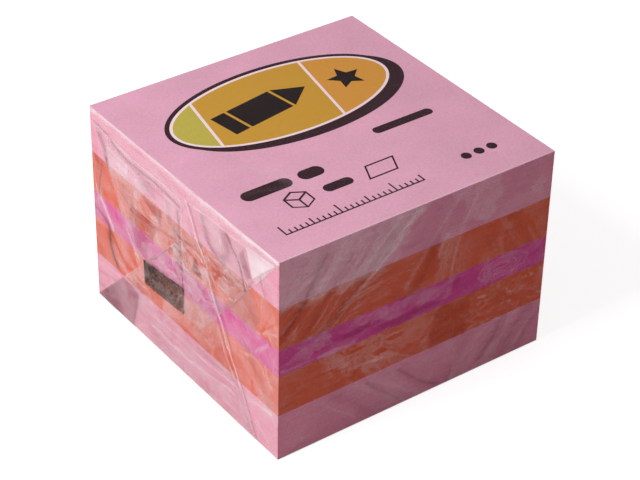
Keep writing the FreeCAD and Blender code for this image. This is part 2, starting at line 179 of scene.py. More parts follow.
dressing = {
    "bend": ((0.10, 10, 14), (0.02, 2, 14)),  # amount, size and count of the waves that bend every mark
    "ragged": ((0.32, 2.6, 14), (0.16, 0.9, 20)),  # more of them for a cloud's outline
    "cloudEven": 0.9, "cloudMottle": (0.12, 1.4, 18),
    "swellSize": 6,
    "core": 0.55, "halo": 0.38, "haloWide": 2.3,  # a dark crease has a soft shade on both sides
    "reach": 6,  # widths from a line within which it counts
    "leastVeil": 0.01, "mostVeil": 0.95, "mostPaintedShade": 0.8,
}


def dressFilm(u, v, marks, base, seed):
    # veil: how milky, painted shade: how dark the clear film is painted at creases and folds, relief: height
    # of the wrinkles in millimetres
    d = dressing
    uw, vw = waver(u, u, v, seed, d["bend"]), waver(v, u, v, seed + 2, d["bend"])
    ur, vr = waver(uw, u, v, seed + 6, d["ragged"]), waver(vw, u, v, seed + 8, d["ragged"])
    veil = base["veil"] + base["mottle"] * softNoise(uw, vw, base["patch"], seed + 4)
    paintedShade = np.zeros(u.shape)
    relief = base["swell"] * softNoise(uw, vw, d["swellSize"], seed + 5)
    mottle, size, count = d["cloudMottle"]
    for kind, width, addVeil, addPaintedShade, lift, points in marks:
        if kind == "line":
            profile, halo = np.zeros(u.shape), np.zeros(u.shape)
            curve = smoothed(points)
            reach = d["reach"] * width
            low, high = np.min(curve, axis=0) - reach, np.max(curve, axis=0) + reach
            near = (uw > low[0]) & (uw < high[0]) & (vw > low[1]) & (vw < high[1])
            away = lineDistance(uw[near], vw[near], curve) / width
            profile[near] = np.exp(-away ** 2)
            halo[near] = d["halo"] * np.exp(-(away / d["haloWide"]) ** 2)
        elif kind == "blob":
            (cx, cy), (rx, ry) = points
            profile = np.exp(-(((uw - cx) / rx) ** 2 + ((vw - cy) / ry) ** 2) ** 2)
        elif kind == "cloud":
            speckle = d["cloudEven"] + mottle * softNoise(u, v, size, seed + 10, count)
            profile = patchMask(ur, vr, points, width) * speckle
        else:
            profile = patchMask(uw, vw, points, width)
        veil = veil + addVeil * profile
        paintedShade = paintedShade + addPaintedShade * (d["core"] * profile + halo if kind == "line" else profile)
        relief = relief + lift * profile
    paintedShade = np.clip(paintedShade * base["shadeStrength"], 0, d["mostPaintedShade"])
    return {"veil": np.clip(veil, d["leastVeil"], d["mostVeil"]), "paintedShade": paintedShade, "relief": relief}


# meshes
def newGrid(across, along):
    bm = bmesh.new()
    bmesh.ops.create_grid(bm, x_segments=across, y_segments=along, size=0.5)
    return bm


def faceOut(bm, outward):
    bm.normal_update()
    if sum(f.normal.dot(outward(f.calc_center_median())) for f in bm.faces) < 0:
        bmesh.ops.reverse_faces(bm, faces=bm.faces[:])


def newPiece(name, bm):
    mesh = bpy.data.meshes.new(name)
    bm.to_mesh(mesh)
    bm.free()
    piece = bpy.data.objects.new(name, mesh)
    bpy.context.scene.collection.objects.link(piece)
    return piece


def newFilm(name, bm, spots, fields, outward, materials):
    # the grid goes to its place and carries the fields, which the material reads
    layers = {key: bm.verts.layers.float.new(key) for key in ("veil", "paintedShade", "relief")}
    for k, (p, spot) in enumerate(zip(bm.verts, spots * mm)):
        p.co = spot
        for key, layer in layers.items():
            p[layer] = float(fields[key][k])
    faceOut(bm, outward)
    for f in bm.faces:
        f.smooth = True
    piece = newPiece(name, bm)
    for material in materials:
        piece.data.materials.append(material)
    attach(piece, "root")
    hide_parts("film_wrap")
    print("film made:", name, len(piece.data.polygons), "faces")
    return piece


# materials
class Graph:
    # a node tree and the calls that build it
    def __init__(self, tree):
        self.tree = tree

    def wire(self, node, values):
        # a socket is linked, anything else is a plain value
        for key, value in values.items():
            if isinstance(value, bpy.types.NodeSocket):
                self.tree.links.new(value, node.inputs[key])
            else:
                node.inputs[key].default_value = value

    def add(self, kind, inputs=None, **settings):
        node = self.tree.nodes.new("ShaderNode" + kind)
        for key, value in settings.items():
            setattr(node, key, value)
        self.wire(node, inputs or {})
        return node

    def math(self, operation, *values, clamp=False):
        return self.add("Math", dict(enumerate(values)), operation=operation, use_clamp=clamp).outputs[0]

    def noise(self, vector, scale, detail=2.0, roughness=0.5, distortion=0.0, output="Fac"):
        inputs = {"Vector": vector, "Scale": scale, "Detail": detail, "Roughness": roughness,
                  "Distortion": distortion}
        return self.add("TexNoise", inputs).outputs[output]

    def mapped(self, vector, degrees, scale):
        turn = tuple(math.radians(a) for a in degrees)
        return self.add("Mapping", {"Vector": vector, "Rotation": turn, "Scale": scale}).outputs[0]

    def mix(self, factor, a, b, blend="MIX"):
        inputs = {"Factor": factor, "A": a, "B": b}
        return self.add("Mix", inputs, data_type="RGBA", blend_type=blend).outputs["Result"]

    def bump(self, strength, distance, height, **normal):
        inputs = {"Strength": strength, "Distance": distance, "Height": height, **normal}
        return self.add("Bump", inputs).outputs[0]

    def place(self):
        return self.add("TexCoord").outputs["Object"]

    def centred(self, value, amount):
        return self.math("MULTIPLY", self.math("SUBTRACT", value, 0.5), amount)


def newMaterial(name):
    material = bpy.data.materials.new(name)
    material.use_nodes = True
    found = material.node_tree.nodes
    return material, Graph(material.node_tree), found["Principled BSDF"], found["Material Output"]


def newGroup(name, inputs, outputs):
    tree = bpy.data.node_groups.new(name, "ShaderNodeTree")
    for direction, names in (("INPUT", inputs), ("OUTPUT", outputs)):
        for key in names:
            tree.interface.new_socket(key, in_out=direction, socket_type="NodeSocketFloat")
    return Graph(tree), tree.nodes.new("NodeGroupInput").outputs, tree.nodes.new("NodeGroupOutput")


paperLook = {
    "sheetScale": (90, 90, 4200), "sheetAmount": 0.22,  # edges of the sheets
    "fibreScale": 2600.0, "fibreAmount": 0.34,
    "cloudScale": 160.0, "cloudAmount": 0.12,
    "corner": (0.0507, 0.0509), "cornerDeep": 0.45, "cornerAmount": 0.6,
    "roughness": 0.85, "specular": 0.25, "bump": 0.6, "bumpDepth": 0.00008,
}


def makePaperGrain():
    # edges of the sheets and the fibres of the paper: a mask for colour and a height
    p = paperLook
    g, _, result = newGroup("paperGrain", (), ("Shade", "Height"))
    place = g.place()
    striped = g.noise(g.mapped(place, (0, 0, 0), p["sheetScale"]), 1.0, 3.0)
    striped = g.centred(striped, p["sheetAmount"])
    grainy = g.centred(g.noise(place, p["fibreScale"], 4.0), p["fibreAmount"])
    cloudy = g.centred(g.noise(place, p["cloudScale"]), p["cloudAmount"])
    height = g.math("ADD", striped, grainy)
    shade = g.math("ADD", g.math("ADD", height, cloudy), 1.0)
    g.wire(result, {"Shade": shade, "Height": height})
    return g.tree


wrinkleLook = {
    "warpScale": 220.0, "warpAmount": 0.0035,
    "hairSharp": 22.0,
    "streakTurn": (38, -38, 0), "streakScale": (150, 150, 1500),
    "levelTurn": (30, -30, 0), "levelScale": (210, 210, 620), "levelDistortion": 0.6,
    "levelCount": 6.0, "levelSharp": 5.0,
    "placeScale": 130.0, "place": (5.0, -2.2),  # contrast and offset of where level lines are
    "mottleScale": 2300.0, "mottleDetail": 5.0, "mottleRoughness": 0.65,
    # dark: streaks of painted shade in the clear film
    "darkScale": 1.7, "dark": (5.0, -2.6),  # the same of the dark streaks
    "hairHeight": 0.35, "streakHeight": 0.5, "levelHeight": 0.2, "patchHeight": 0.3,
}
wrinkleAmounts = ("Patches", "Hairlines", "Streaks", "Patch size", "Contours", "Mottle", "Shade")


def makeFilmWrinkle():
    # fine crumples of thin film: angular patches, hairline creases and long streaks, and dark streaks of
    # painted shade
    w = wrinkleLook
    g, given, result = newGroup("filmWrinkle", ("Veil", *wrinkleAmounts), ("Veil", "Tint", "Height"))
    place = g.place()
    warp = g.noise(place, w["warpScale"], output="Color")
    shifted = g.add("VectorMath", {0: warp, 1: (w["warpAmount"],) * 3, 2: place},
                    operation="MULTIPLY_ADD").outputs[0]
    cellInputs = {"Scale": given["Patch size"], "Vector": shifted}
    cells = g.add("TexVoronoi", cellInputs, feature="F1")
    split = g.add("SeparateColor", {0: cells.outputs["Color"]})
    edges = g.add("TexVoronoi", cellInputs, feature="DISTANCE_TO_EDGE").outputs["Distance"]
    hair = g.math("SUBTRACT", 1.0, g.math("MULTIPLY", edges, w["hairSharp"]), clamp=True)
    turned = g.mapped(shifted, w["streakTurn"], w["streakScale"])
    streak = g.centred(g.noise(turned, 1.0), 2.0)
    folded = g.math("SUBTRACT", split.outputs[0], 0.5)
    # level lines, as where the film just touches the paper, and only in some places
    slanted = g.mapped(shifted, w["levelTurn"], w["levelScale"])
    swell = g.noise(slanted, 1.0, 1.0, distortion=w["levelDistortion"])
    level = g.math("PINGPONG", g.math("MULTIPLY", swell, w["levelCount"]), 0.5)
    level = g.math("SUBTRACT", 1.0, g.math("MULTIPLY", level, w["levelSharp"]), clamp=True)
    where = g.math("MULTIPLY_ADD", g.noise(place, w["placeScale"]), *w["place"], clamp=True)
    level = g.math("MULTIPLY", level, where)
    fine = g.noise(place, w["mottleScale"], w["mottleDetail"], w["mottleRoughness"])
    speckle = g.math("MULTIPLY_ADD", fine, 2.0, -1.0)
    veil = given["Veil"]
    for field, key in ((folded, "Patches"), (hair, "Hairlines"), (streak, "Streaks"), (level, "Contours"),
                       (speckle, "Mottle")):
        veil = g.math("MULTIPLY_ADD", field, given[key], veil)
    # dark streaks of painted shade, which the film adds to the painted shade of its marks
    dark = g.math("MULTIPLY_ADD", g.noise(turned, w["darkScale"], 4.0), *w["dark"], clamp=True)
    height = g.math("MULTIPLY_ADD", hair, w["hairHeight"],
                    g.math("MULTIPLY", streak, w["streakHeight"]))
    height = g.math("MULTIPLY_ADD", level, w["levelHeight"], height)
    g.wire(result, {
        "Veil": g.math("MAXIMUM", veil, 0.005, clamp=True),
        "Tint": g.math("MULTIPLY", dark, given["Shade"]),
        "Height": g.math("MULTIPLY_ADD", folded, w["patchHeight"], height),
    })
    return g.tree


paperGrain = makePaperGrain()
filmWrinkle = makeFilmWrinkle()


def makePaper(name, edgeColour, faceColour):
    p = paperLook
    material, g, shader, _ = newMaterial(name)
    grain = g.add("Group", node_tree=paperGrain)
    normal = g.add("NewGeometry").outputs["Normal"]
    upright = g.add("SeparateXYZ", {0: normal}).outputs["Z"]
    flatFace = g.math("POWER", g.math("ABSOLUTE", upright), 4.0)
    # the stack's standing corners, where the paper shows its deepest colour
    place = g.add("SeparateXYZ", {0: g.place()}).outputs
    out = g.math("ADD", g.math("ABSOLUTE", place["X"]), g.math("ABSOLUTE", place["Y"]))
    low, high = p["corner"]
    corner = g.add("MapRange", {"Value": out, "From Min": low, "From Max": high})
    cornerShare = g.math("MULTIPLY", corner.outputs["Result"], p["cornerAmount"])
    deepColour = (edgeColour[0], edgeColour[1] * p["cornerDeep"], edgeColour[2] * p["cornerDeep"], 1)
    colour = g.mix(flatFace, (*edgeColour, 1), (*faceColour, 1))
    colour = g.mix(cornerShare, colour, deepColour)
    g.wire(shader, {
        "Base Color": g.mix(1.0, colour, grain.outputs["Shade"], "MULTIPLY"),
        "Roughness": p["roughness"],
        "Specular IOR Level": p["specular"],
        "Normal": g.bump(p["bump"], p["bumpDepth"], grain.outputs["Height"]),
    })
    return material


inkLook = {"scale": 1900.0, "detail": 5.0, "mottle": 0.24, "roughness": (0.2, 0.3), "specular": 0.03}


def makeInk(name, colour):
    material, g, shader, _ = newMaterial(name)
    speckle = g.noise(g.place(), inkLook["scale"], inkLook["detail"])
    shade = g.math("MULTIPLY_ADD", g.math("SUBTRACT", speckle, 0.5), inkLook["mottle"], 1.0)
    g.wire(shader, {
        "Base Color": g.mix(1.0, (*colour, 1), shade, "MULTIPLY"),
        "Roughness": g.math("MULTIPLY_ADD", speckle, *inkLook["roughness"]),
        "Specular IOR Level": inkLook["specular"],
    })
    return material


filmLook = {
    "roughness": 0.16, "ior": 2.4,
    "bump": 0.8, "reliefDepth": 0.001,
    # clear: the film's own colour; dark: the colour of the painted shade at creases and folds
    "clear": (0.99, 0.985, 0.985, 1), "dark": (0.30, 0.13, 0.15, 1),
}


def makeFilm(name, haze, bumpDepth, amounts):
    f = filmLook
    material, g, shader, output = newMaterial(name)
    veil, paintedShade, relief = (g.add("Attribute", attribute_name=key).outputs["Fac"]
                          for key in ("veil", "paintedShade", "relief"))
    wrinkle = g.add("Group", node_tree=filmWrinkle)
    g.wire(wrinkle, {"Veil": veil, **dict(zip(wrinkleAmounts, amounts))})
    folds = g.bump(f["bump"], f["reliefDepth"], relief)
    g.wire(shader, {
        "Base Color": (*haze, 1),
        "Roughness": f["roughness"],
        "IOR": f["ior"],
        "Normal": g.bump(f["bump"], bumpDepth, wrinkle.outputs["Height"], Normal=folds),
    })
    # painted shade: the clear film turns towards the dark colour at creases and folds
    share = g.math("ADD", paintedShade, wrinkle.outputs["Tint"], clamp=True)
    clear = g.add("BsdfTransparent", {"Color": g.mix(share, f["clear"], f["dark"])})
    blend = g.add("MixShader", {0: wrinkle.outputs["Veil"], 1: clear.outputs[0], 2: shader.outputs[0]})
    g.wire(output, {"Surface": blend.outputs[0]})
    return material


# the colour on the edges of the sheets, and on their faces
paperColours = {
    "pink_paper": ((0.76, 0.27, 0.39), (0.74, 0.385, 0.515)),
    "orange_paper": ((0.67, 0.105, 0.045), (0.70, 0.16, 0.09)),
    "magenta_paper": ((0.64, 0.055, 0.27), (0.70, 0.12, 0.36)),
    "liner_paper": ((0.80, 0.79, 0.76), (0.80, 0.79, 0.76)),
}
inkColours = {
    "dark_ink": (0.030, 0.008, 0.013),
    "pale_ink": (0.90, 0.72, 0.76),
    "lime_ink": (0.50, 0.43, 0.075),
    "ochre_ink": (0.57, 0.31, 0.037),
    "orange_ink": (0.64, 0.30, 0.05),
}
finish = {slot: makePaper(slot.replace("_", " "), *pair) for slot, pair in paperColours.items()}
finish.update({slot: makeInk(slot.replace("_", " "), colour) for slot, colour in inkColours.items()})
blackInk = makeInk("black ink of the motifs", (0.008, 0.002, 0.002))
print("paper and ink materials made")

slotOf = {s["node"]: s["material_slot"] for s in frame["record"]["subparts"]}
for name, node in nodes.items():
    if slotOf[name] in finish:
        node.material_slots[0].material = blackInk if name == "print_motifs" else finish[slotOf[name]]

filmTop = makeFilm("clear film over the print", (0.95, 0.88, 0.90), 0.00001,
                   (0.002, 0.0, 0.006, 90.0, 0.0, 0.006, 0.01))
filmWall = makeFilm("clear film on the walls", (0.97, 0.78, 0.84), 0.00004,
                    (0.012, 0.008, 0.05, 330.0, 0.035, 0.06, 0.10))
filmEnd = makeFilm("clear film on the folded ends", (0.97, 0.86, 0.90), 0.00004,
                   (0.09, 0.03, 0.05, 330.0, 0.04, 0.04, 0.08))
print("film materials made")


# film: the tube round the block
tube = {
    "frontStep": 0.19, "wallStep": 0.4, "bottomStep": 0.7,
    "frontAcross": 250, "restAcross": 130,
    "overhang": 0.02,  # past the block at each end
    # the veil along the long top edges is a painted highlight
    "edgeWide": 0.16, "edgeHighlightVeil": 0.26,  # the bright line along the long top edges
    "gap": 0.03, "gapMost": 0.065, "topGapMost": 0.012,
    "topBand": 0.1,  # faces this near the top have the top's film
    "seed": 40,
}
frontPanel, topPanel, backPanel, bottomPanel = range(4)


def sectionTable():
    # the tube's section, each row y, z, outward y, outward z, panel and place down the panel
    r, w, t, lap = (block[key] for key in ("corner", "wallOut", "topOut", "lap"))
    low, lower, half = (block[key] for key in ("bottomUpper", "bottomLower", "half"))
    side, high = block["side"], block["wallHigh"]
    rows = []

    def run(y0, z0, y1, z1, outY, outZ, panel, step, places):
        n = max(2, int(math.hypot(y1 - y0, z1 - z0) / step))
        for k in range(n + 1):
            f = k / n
            rows.append((y0 + (y1 - y0) * f, z0 + (z1 - z0) * f, outY, outZ, panel,
                         places[0] + (places[1] - places[0]) * f))

    def turn(cy, cz, start, panel, at):
        for k in range(1, 4):
            a = math.radians(start - 90 * k / 4)
            rows.append((cy + r * math.cos(a), cz + r * math.sin(a), math.cos(a), math.sin(a), panel, at))

    run(lap, low, -w + r, low, 0, -1, bottomPanel, tube["bottomStep"], (half + lap, 0))
    turn(-w + r, low + r, 270, frontPanel, high)
    run(-w, low + r, -w, t - r, -1, 0, frontPanel, tube["frontStep"], (high, 0))
    turn(-w + r, t - r, 180, topPanel, side)
    run(-w + r, t, w - r, t, 0, 1, topPanel, tube["wallStep"], (side, 0))
    turn(w - r, t - r, 90, backPanel, 0.0)
    run(w, t - r, w, lower + r, 1, 0, backPanel, tube["wallStep"], (0, high))
    turn(w - r, lower + r, 0, bottomPanel, side)
    run(w - r, lower, -lap, lower, 0, -1, bottomPanel, tube["bottomStep"], (side, half - lap))
    return rows


def makeTube(name, rows, across, materials):
    ys, zs, outY, outZ, panel, at = (np.array(c) for c in zip(*rows))
    bm = newGrid(across, len(rows) - 1)
    keys = np.array([(p.co.x + 0.5, p.co.y + 0.5) for p in bm.verts])
    row = np.rint(keys[:, 1] * (len(rows) - 1)).astype(int)
    u = keys[:, 0] * block["side"]
    fields = {key: np.zeros(len(u)) for key in ("veil", "paintedShade", "relief")}
    for side in sorted(set(panel)):
        here = panel[row] == side
        along = block["side"] - u[here] if side == backPanel else u[here]
        marks, base = panels[side]
        got = dressFilm(along, at[row][here], marks, base, tube["seed"] + side)
        for key, field in fields.items():
            field[here] = got[key]
    # the film bulges a little over the long edges, and a painted highlight, a thin band of raised milky veil,
    # lies along them
    edge = np.zeros(len(u))
    for cy in (-block["wallOut"], block["wallOut"]):
        away = np.hypot(ys[row] - cy, zs[row] - block["topOut"])
        edge = np.maximum(edge, np.exp(-(away / tube["edgeWide"]) ** 2))
    fields["veil"] = np.clip(fields["veil"] * (1 - edge) + tube["edgeHighlightVeil"] * edge, 0, dressing["mostVeil"])
    inset = np.clip(tube["gap"] - fields["relief"], 0, tube["gapMost"])
    inset = np.where(panel[row] == topPanel, np.clip(inset, 0, tube["topGapMost"]), inset)
    inset = np.where(panel[row] == bottomPanel, 0.0, inset) * (1 - np.clip(edge * 2, 0, 1))
    half = block["half"] + tube["overhang"]
    spots = np.stack([((u / block["side"]) * 2 - 1) * half, ys[row] - outY[row] * inset,
                      zs[row] - outZ[row] * inset], 1)
    middle = Vector((0, 0, block["top"] * mm / 2))
    piece = newFilm(name, bm, spots, fields, lambda centre: centre - middle, materials)
    topLow = (block["topOut"] - tube["topBand"]) * mm
    for poly in piece.data.polygons:
        poly.material_index = 1 if len(materials) > 1 and poly.center.z > topLow else 0


# marks on the front, top, back and underside: u from the left, v down from the top, in millimetres; their
# painted shade darkens the film along creases and in shaded folds
frontMarks = [
    line(0.38, -0.04, 0.3, -0.03, (8.2, 2), (6.8, 4.1), (5.5, 6.6), (4.3, 9.1), (2.7, 11.4), (0.5, 13.6)),
    line(0.6, -0.03, 0.17, -0.03, (20, 3.2), (18.2, 5.5), (13.6, 10.4), (10, 14), (7.3, 15.7)),
    line(0.8, -0.03, 0.16, -0.03, (28.5, 8.5), (26.5, 12.5), (24.8, 15.2)),
    line(0.34, -0.04, 0.15, -0.03, (13, 3.5), (10, 7.3), (7.2, 11.5), (4.6, 15.4)),
    line(0.4, -0.05, 0.08, -0.03, (19.5, 0.6), (16.4, 3.2), (13.2, 7.2)),
    line(0.36, -0.05, 0.08, -0.03, (24.4, 0.6), (21.2, 3.2), (17.6, 7.8)),
    line(0.3, 0.05, 0, 0.03, (21.6, 0.4), (17.6, 4.2), (14.2, 8.6)),
    line(0.3, 0.08, 0, 0.03, (11.4, 1), (8.6, 4.6), (6, 8.6)),
    line(0.22, 0.09, 0, 0.03, (17.3, 3.2), (13.6, 7.3), (9.5, 12.3), (6.8, 15.5)),
    line(0.2, 0.1, 0, 0.03, (15.9, 2.7), (12.3, 6.8), (9.1, 10.5), (5.9, 14.5)),
    line(0.22, 0.09, 0, 0.03, (22.7, 4.1), (20, 6.4), (16.4, 9.1), (12, 12)),
    line(0.35, 0.07, 0, 0.02, (33.6, 0.4), (30, 4.2), (26.5, 9.1), (23, 14)),
    line(0.3, 0.1, 0, 0.03, (36, 2.2), (33.6, 6.5), (32.4, 11.6), (31.8, 15.7)),
    line(0.55, 0.07, 0, 0.02, (32.3, 15.9), (31.2, 18.4), (29.4, 20.3)),
    line(0.5, 0.04, 0, 0.02, (28.9, 20.9), (28, 23.5), (27.4, 27.3)),
    line(0.6, -0.06, 0.05, -0.03, (43.6, 9), (45.9, 12), (47.3, 15)),
    cloud(1.6, 0.2, 0, 0, (-3, -3), (28, -3), (20, 8.8), (-3, 8.8)),
    patch(0.8, -0.035, 0, 0, (-2, 8.3), (23, 8.3), (23, 15.6), (-2, 15.6)),
    cloud(0.7, 0.12, 0, 0.01, (31, -0.5), (39.8, -0.5), (40.9, 2.9), (39.4, 7.2), (38.4, 8.6), (36.6, 7.2),
          (33.6, 3.6)),
    cloud(0.4, 0.08, 0, 0.01, (29.2, 8.2), (30, 5.6), (31.6, 8.4)),
    cloud(0.8, 0.03, 0, 0, (28, 9), (35, 5.2), (35.5, 15.8), (29.5, 15.8)),
    patch(0.5, 0.035, 0, 0, (38, 5.2), (52, 5.2), (52, 8.6), (38, 8.6)),
    cloud(0.5, 0.12, 0, 0.01, (46.4, 4.4), (50, 4.2), (48.4, 7.2)),
    cloud(0.9, 0.09, 0, 0.02, (1.5, 18.7), (5.4, 15.7), (9.6, 15.6), (9.1, 17.8), (5, 18.9)),
    cloud(0.8, 0.09, 0, 0.02, (12.4, 17.2), (14, 15.7), (19.4, 15.7), (19.4, 17.2)),
    cloud(0.8, 0.09, 0, 0.02, (15.6, 18.4), (19.6, 16.2), (24.4, 16.3), (22.4, 18.6)),
    cloud(0.8, 0.09, 0, 0.02, (23.8, 16), (32, 16), (29.8, 18.2), (26, 18.6)),
    cloud(0.8, 0.015, 0, 0.01, (37.4, 16), (47.6, 15.8), (47.2, 19.8), (38.8, 19.9)),
    cloud(0.7, 0.05, 0, 0.01, (46.5, 19), (51.5, 18), (51.5, 20.6), (47, 20.6)),
    ring(42.3, 17.9, 4.7, 1.9, 0.2, 0.08, 0.03),
    ring(42.2, 17.8, 3.7, 1.4, 0.16, 0.07, 0.03),
    ring(42, 17.8, 2.7, 1, 0.16, 0.07, 0.03),
    ring(41.8, 17.7, 1.7, 0.5, 0.15, 0.07, 0.03),
    blob(-0.06, 0.16, -0.02, (14.4, 18.1), (4.2, 0.6)),
    blob(-0.06, 0.16, -0.02, (23.6, 19.5), (6.6, 0.8)),
    blob(-0.06, 0.1, -0.01, (33, 17), (1.2, 1.2)),
    cloud(0.5, 0.08, 0, 0.01, (7.4, 20.7), (15.5, 20.7), (20.6, 24.6), (24.6, 27.8), (16.4, 27.7),
          (11.2, 24.3)),
    cloud(0.5, 0.06, 0, 0.01, (15, 20.7), (27.5, 20.7), (27, 26), (22, 25)),
    line(0.3, 0.08, 0, 0.03, (11.4, 24.6), (15, 25.2), (19, 25.4), (22.5, 26.2), (24.2, 27.6)),
    ring(21.4, 22.3, 1.9, 0.6, 0.2, 0.07, 0.01),
    ring(18.6, 24, 1.5, 0.75, 0.2, 0.07, 0.01),
    blob(-0.3, -0.05, -0.02, (21.4, 22.3), (1.7, 0.42)),
    blob(-0.3, -0.05, -0.02, (18.6, 24), (1.3, 0.55)),
    blob(-0.2, -0.05, -0.02, (14.2, 21.5), (1.8, 0.3)),
    blob(-0.14, -0.05, -0.02, (6.4, 22.2), (1.2, 0.5)),
    blob(-0.14, -0.05, -0.02, (44.2, 20.95), (1.6, 0.25)),
    line(0.3, -0.08, -0.05, -0.02, (0, 27), (3, 26.6), (6, 27.2), (10, 27.6)),
    line(0.3, -0.08, -0.05, -0.02, (36, 26.6), (40, 26.2), (44, 27), (51, 27.4)),
    cloud(0.9, -0.02, 0.14, 0, (29, 20.8), (36, 20.8), (36, 27.8), (28.2, 27.8)),
    patch(0.35, 0.03, 0, 0, (35.9, 20.7), (38.2, 20.7), (38.2, 27.7), (35.9, 27.7)),
    line(0.17, -0.02, 0.26, -0.03, (16.4, 29.2), (19, 31.8), (21.4, 34), (23.2, 35.9)),
    line(0.17, -0.02, 0.26, -0.03, (22.3, 29.1), (24.1, 30.9), (27.3, 33.6), (30.5, 35.7)),
    line(0.55, -0.02, 0.1, -0.03, (10, 28.6), (14, 31.4), (17.6, 35.9)),
    line(0.55, 0.05, 0, 0.03, (33.4, 28.4), (29.8, 30.2), (27.8, 28.8)),
    line(0.45, -0.02, 0.1, -0.03, (36.8, 28.2), (34.4, 31.6), (32.2, 35.9)),
    cloud(0.7, 0.05, 0, 0.01, (13, 27.9), (22, 27.9), (29.5, 36.5), (23, 36.5)),
    line(0.7, -0.02, 0.17, -0.03, (43, 28.4), (41, 31.4), (38.8, 34.6)),
    line(0.6, -0.02, 0.15, -0.03, (48.6, 28.4), (45.6, 32), (43, 35.9)),
    line(0.6, 0.06, 0, 0.03, (46, 28.2), (43.4, 31.4), (41.2, 35.9)),
    line(0.5, 0.06, 0, 0.03, (40, 28.2), (36, 32), (33, 35.9)),
    line(0.4, -0.02, 0.14, -0.03, (51, 30), (48.6, 32.4), (46.4, 35.9)),
    *bundle(3, 26, 0.14, 0.06, 0.02, [(14.5, 0.6), (10.5, 5), (6.5, 9.5), (1.5, 15.5)],
            [(27, 0.5), (21.5, 5), (16.5, 9.5), (10, 15.5)]),
    *bundle(23, 13, 0.46, 0.065, 0.03, [(10, 0.6), (6.5, 5), (3.5, 9.5), (0.5, 14)],
            [(29, 0.5), (24.5, 5), (18.5, 10.5), (12, 15.5)]),
    *bundle(4, 13, 0.14, 0.085, 0.03, [(9, 12.4), (13.6, 10.5), (20, 8.9), (27, 8)],
            [(11, 15.6), (14.5, 14.4), (19, 13.9), (22.5, 15)]),
    *bundle(5, 10, 0.18, 0.09, 0.03, [(0.3, 6), (3, 4), (6, 2.5)], [(0.3, 15.5), (3.5, 12.5), (6, 9)]),
    *bundle(6, 8, 0.24, 0.08, 0.03, [(30, 7), (28, 11), (25, 15.5)], [(36, 5.5), (34.5, 10), (34, 15.5)]),
    *bundle(7, 9, 0.34, 0.08, 0.03, [(13, 28.4), (17.5, 31.5), (22.5, 35.8)],
            [(23, 28.6), (27, 32), (31, 35.8)]),
    *bundle(8, 12, 0.36, 0.08, 0.03, [(37, 28.4), (34.5, 32), (32.5, 35.8)],
            [(53, 29), (49.5, 32.5), (46.5, 36)]),
    *bundle(9, 7, 0.34, 0.06, 0.02, [(1, 28.5), (6, 32), (10, 36)], [(9, 28.5), (13.5, 32), (18, 36)]),
    *bundle(10, 9, 0.32, 0.07, 0.02, [(37, 9), (39, 12), (40, 15.5)], [(45.5, 9), (48.5, 12), (51, 15.5)]),
    *bundle(11, 5, 0.16, 0.09, 0.02, [(0.5, 19.4), (7, 19.6), (14, 19.4)],
            [(0.5, 20.4), (7, 20.4), (14, 20.3)]),
    *bundle(24, 9, 0.12, 0.08, 0.02, [(11, 9.5), (15, 10), (21, 9.6)], [(11, 13.5), (16, 13), (22, 11.5)]),
    *strayCreases(12, 80, (36, 51, 20.6, 28), 10, 22, 2.4, 0.17, 0.12, 0.03),
    *strayCreases(13, 60, (8, 22, 20.6, 27.6), 30, 30, 1.8, 0.15, 0.13, 0.03),
    *strayCreases(14, 110, (0, 51, 0, 36), -50, 26, 5, 0.17, 0.06, 0.02),
]
topMarks = [
    line(1.1, 0.05, 0, 0.003, (10, 28), (12.4, 33), (14.5, 38)),
    line(1.4, 0.022, 0, 0.003, (14, 50), (25, 44), (38, 41)),
    line(0.6, 0.018, 0, 0.003, (3, 33), (12, 36), (24, 40)),
    line(0.5, 0.018, 0, 0.003, (43, 22), (46, 27), (48, 33)),
]
# per panel and layer: strength of the painted shade, veil, its mottle, the size of its patches, and swell
baseKeys = ("shadeStrength", "veil", "mottle", "patch", "swell")
filmBase = {key: dict(zip(baseKeys, values)) for key, values in {
    "front": (1.0, 0.028, 0.012, 5, 0.02),
    "top": (1.0, 0.008, 0.002, 14, 0.003),
    "back": (1.0, 0.05, 0.02, 6, 0.02),
    "bottom": (1.0, 0.07, 0.02, 6, 0.0),
    "tuck": (1.5, 0.10, 0.02, 5, 0.02),
    "topFlap": (1.45, 0.14, 0.02, 5, 0.03),
    "bottomFlap": (1.2, 0.125, 0.02, 6, 0.03),
}.items()}
backMarks = [
    *bundle(15, 24, 0.25, 0.09, 0.03, [(2, 1), (9, 12), (16, 24), (22, 35)],
            [(24, 1), (34, 12), (43, 24), (50, 35)]),
    *strayCreases(16, 80, (0, 51, 0, 36), 35, 30, 5, 0.2, 0.07, 0.02),
]
bottomMarks = strayCreases(17, 40, (0, 51, 0, 51), 10, 40, 9, 0.3, 0.08, 0)
panels = [(frontMarks, filmBase["front"]), (topMarks, filmBase["top"]), (backMarks, filmBase["back"]),
          (bottomMarks, filmBase["bottom"])]
allRows = sectionTable()
wallEnd = max(k for k, r in enumerate(allRows) if r[4] == frontPanel) + 4
makeTube("filmFront", allRows[:wallEnd + 1], tube["frontAcross"], [filmWall])
makeTube("filmTopAndBack", allRows[wallEnd:], tube["restAcross"], [filmWall, filmTop])
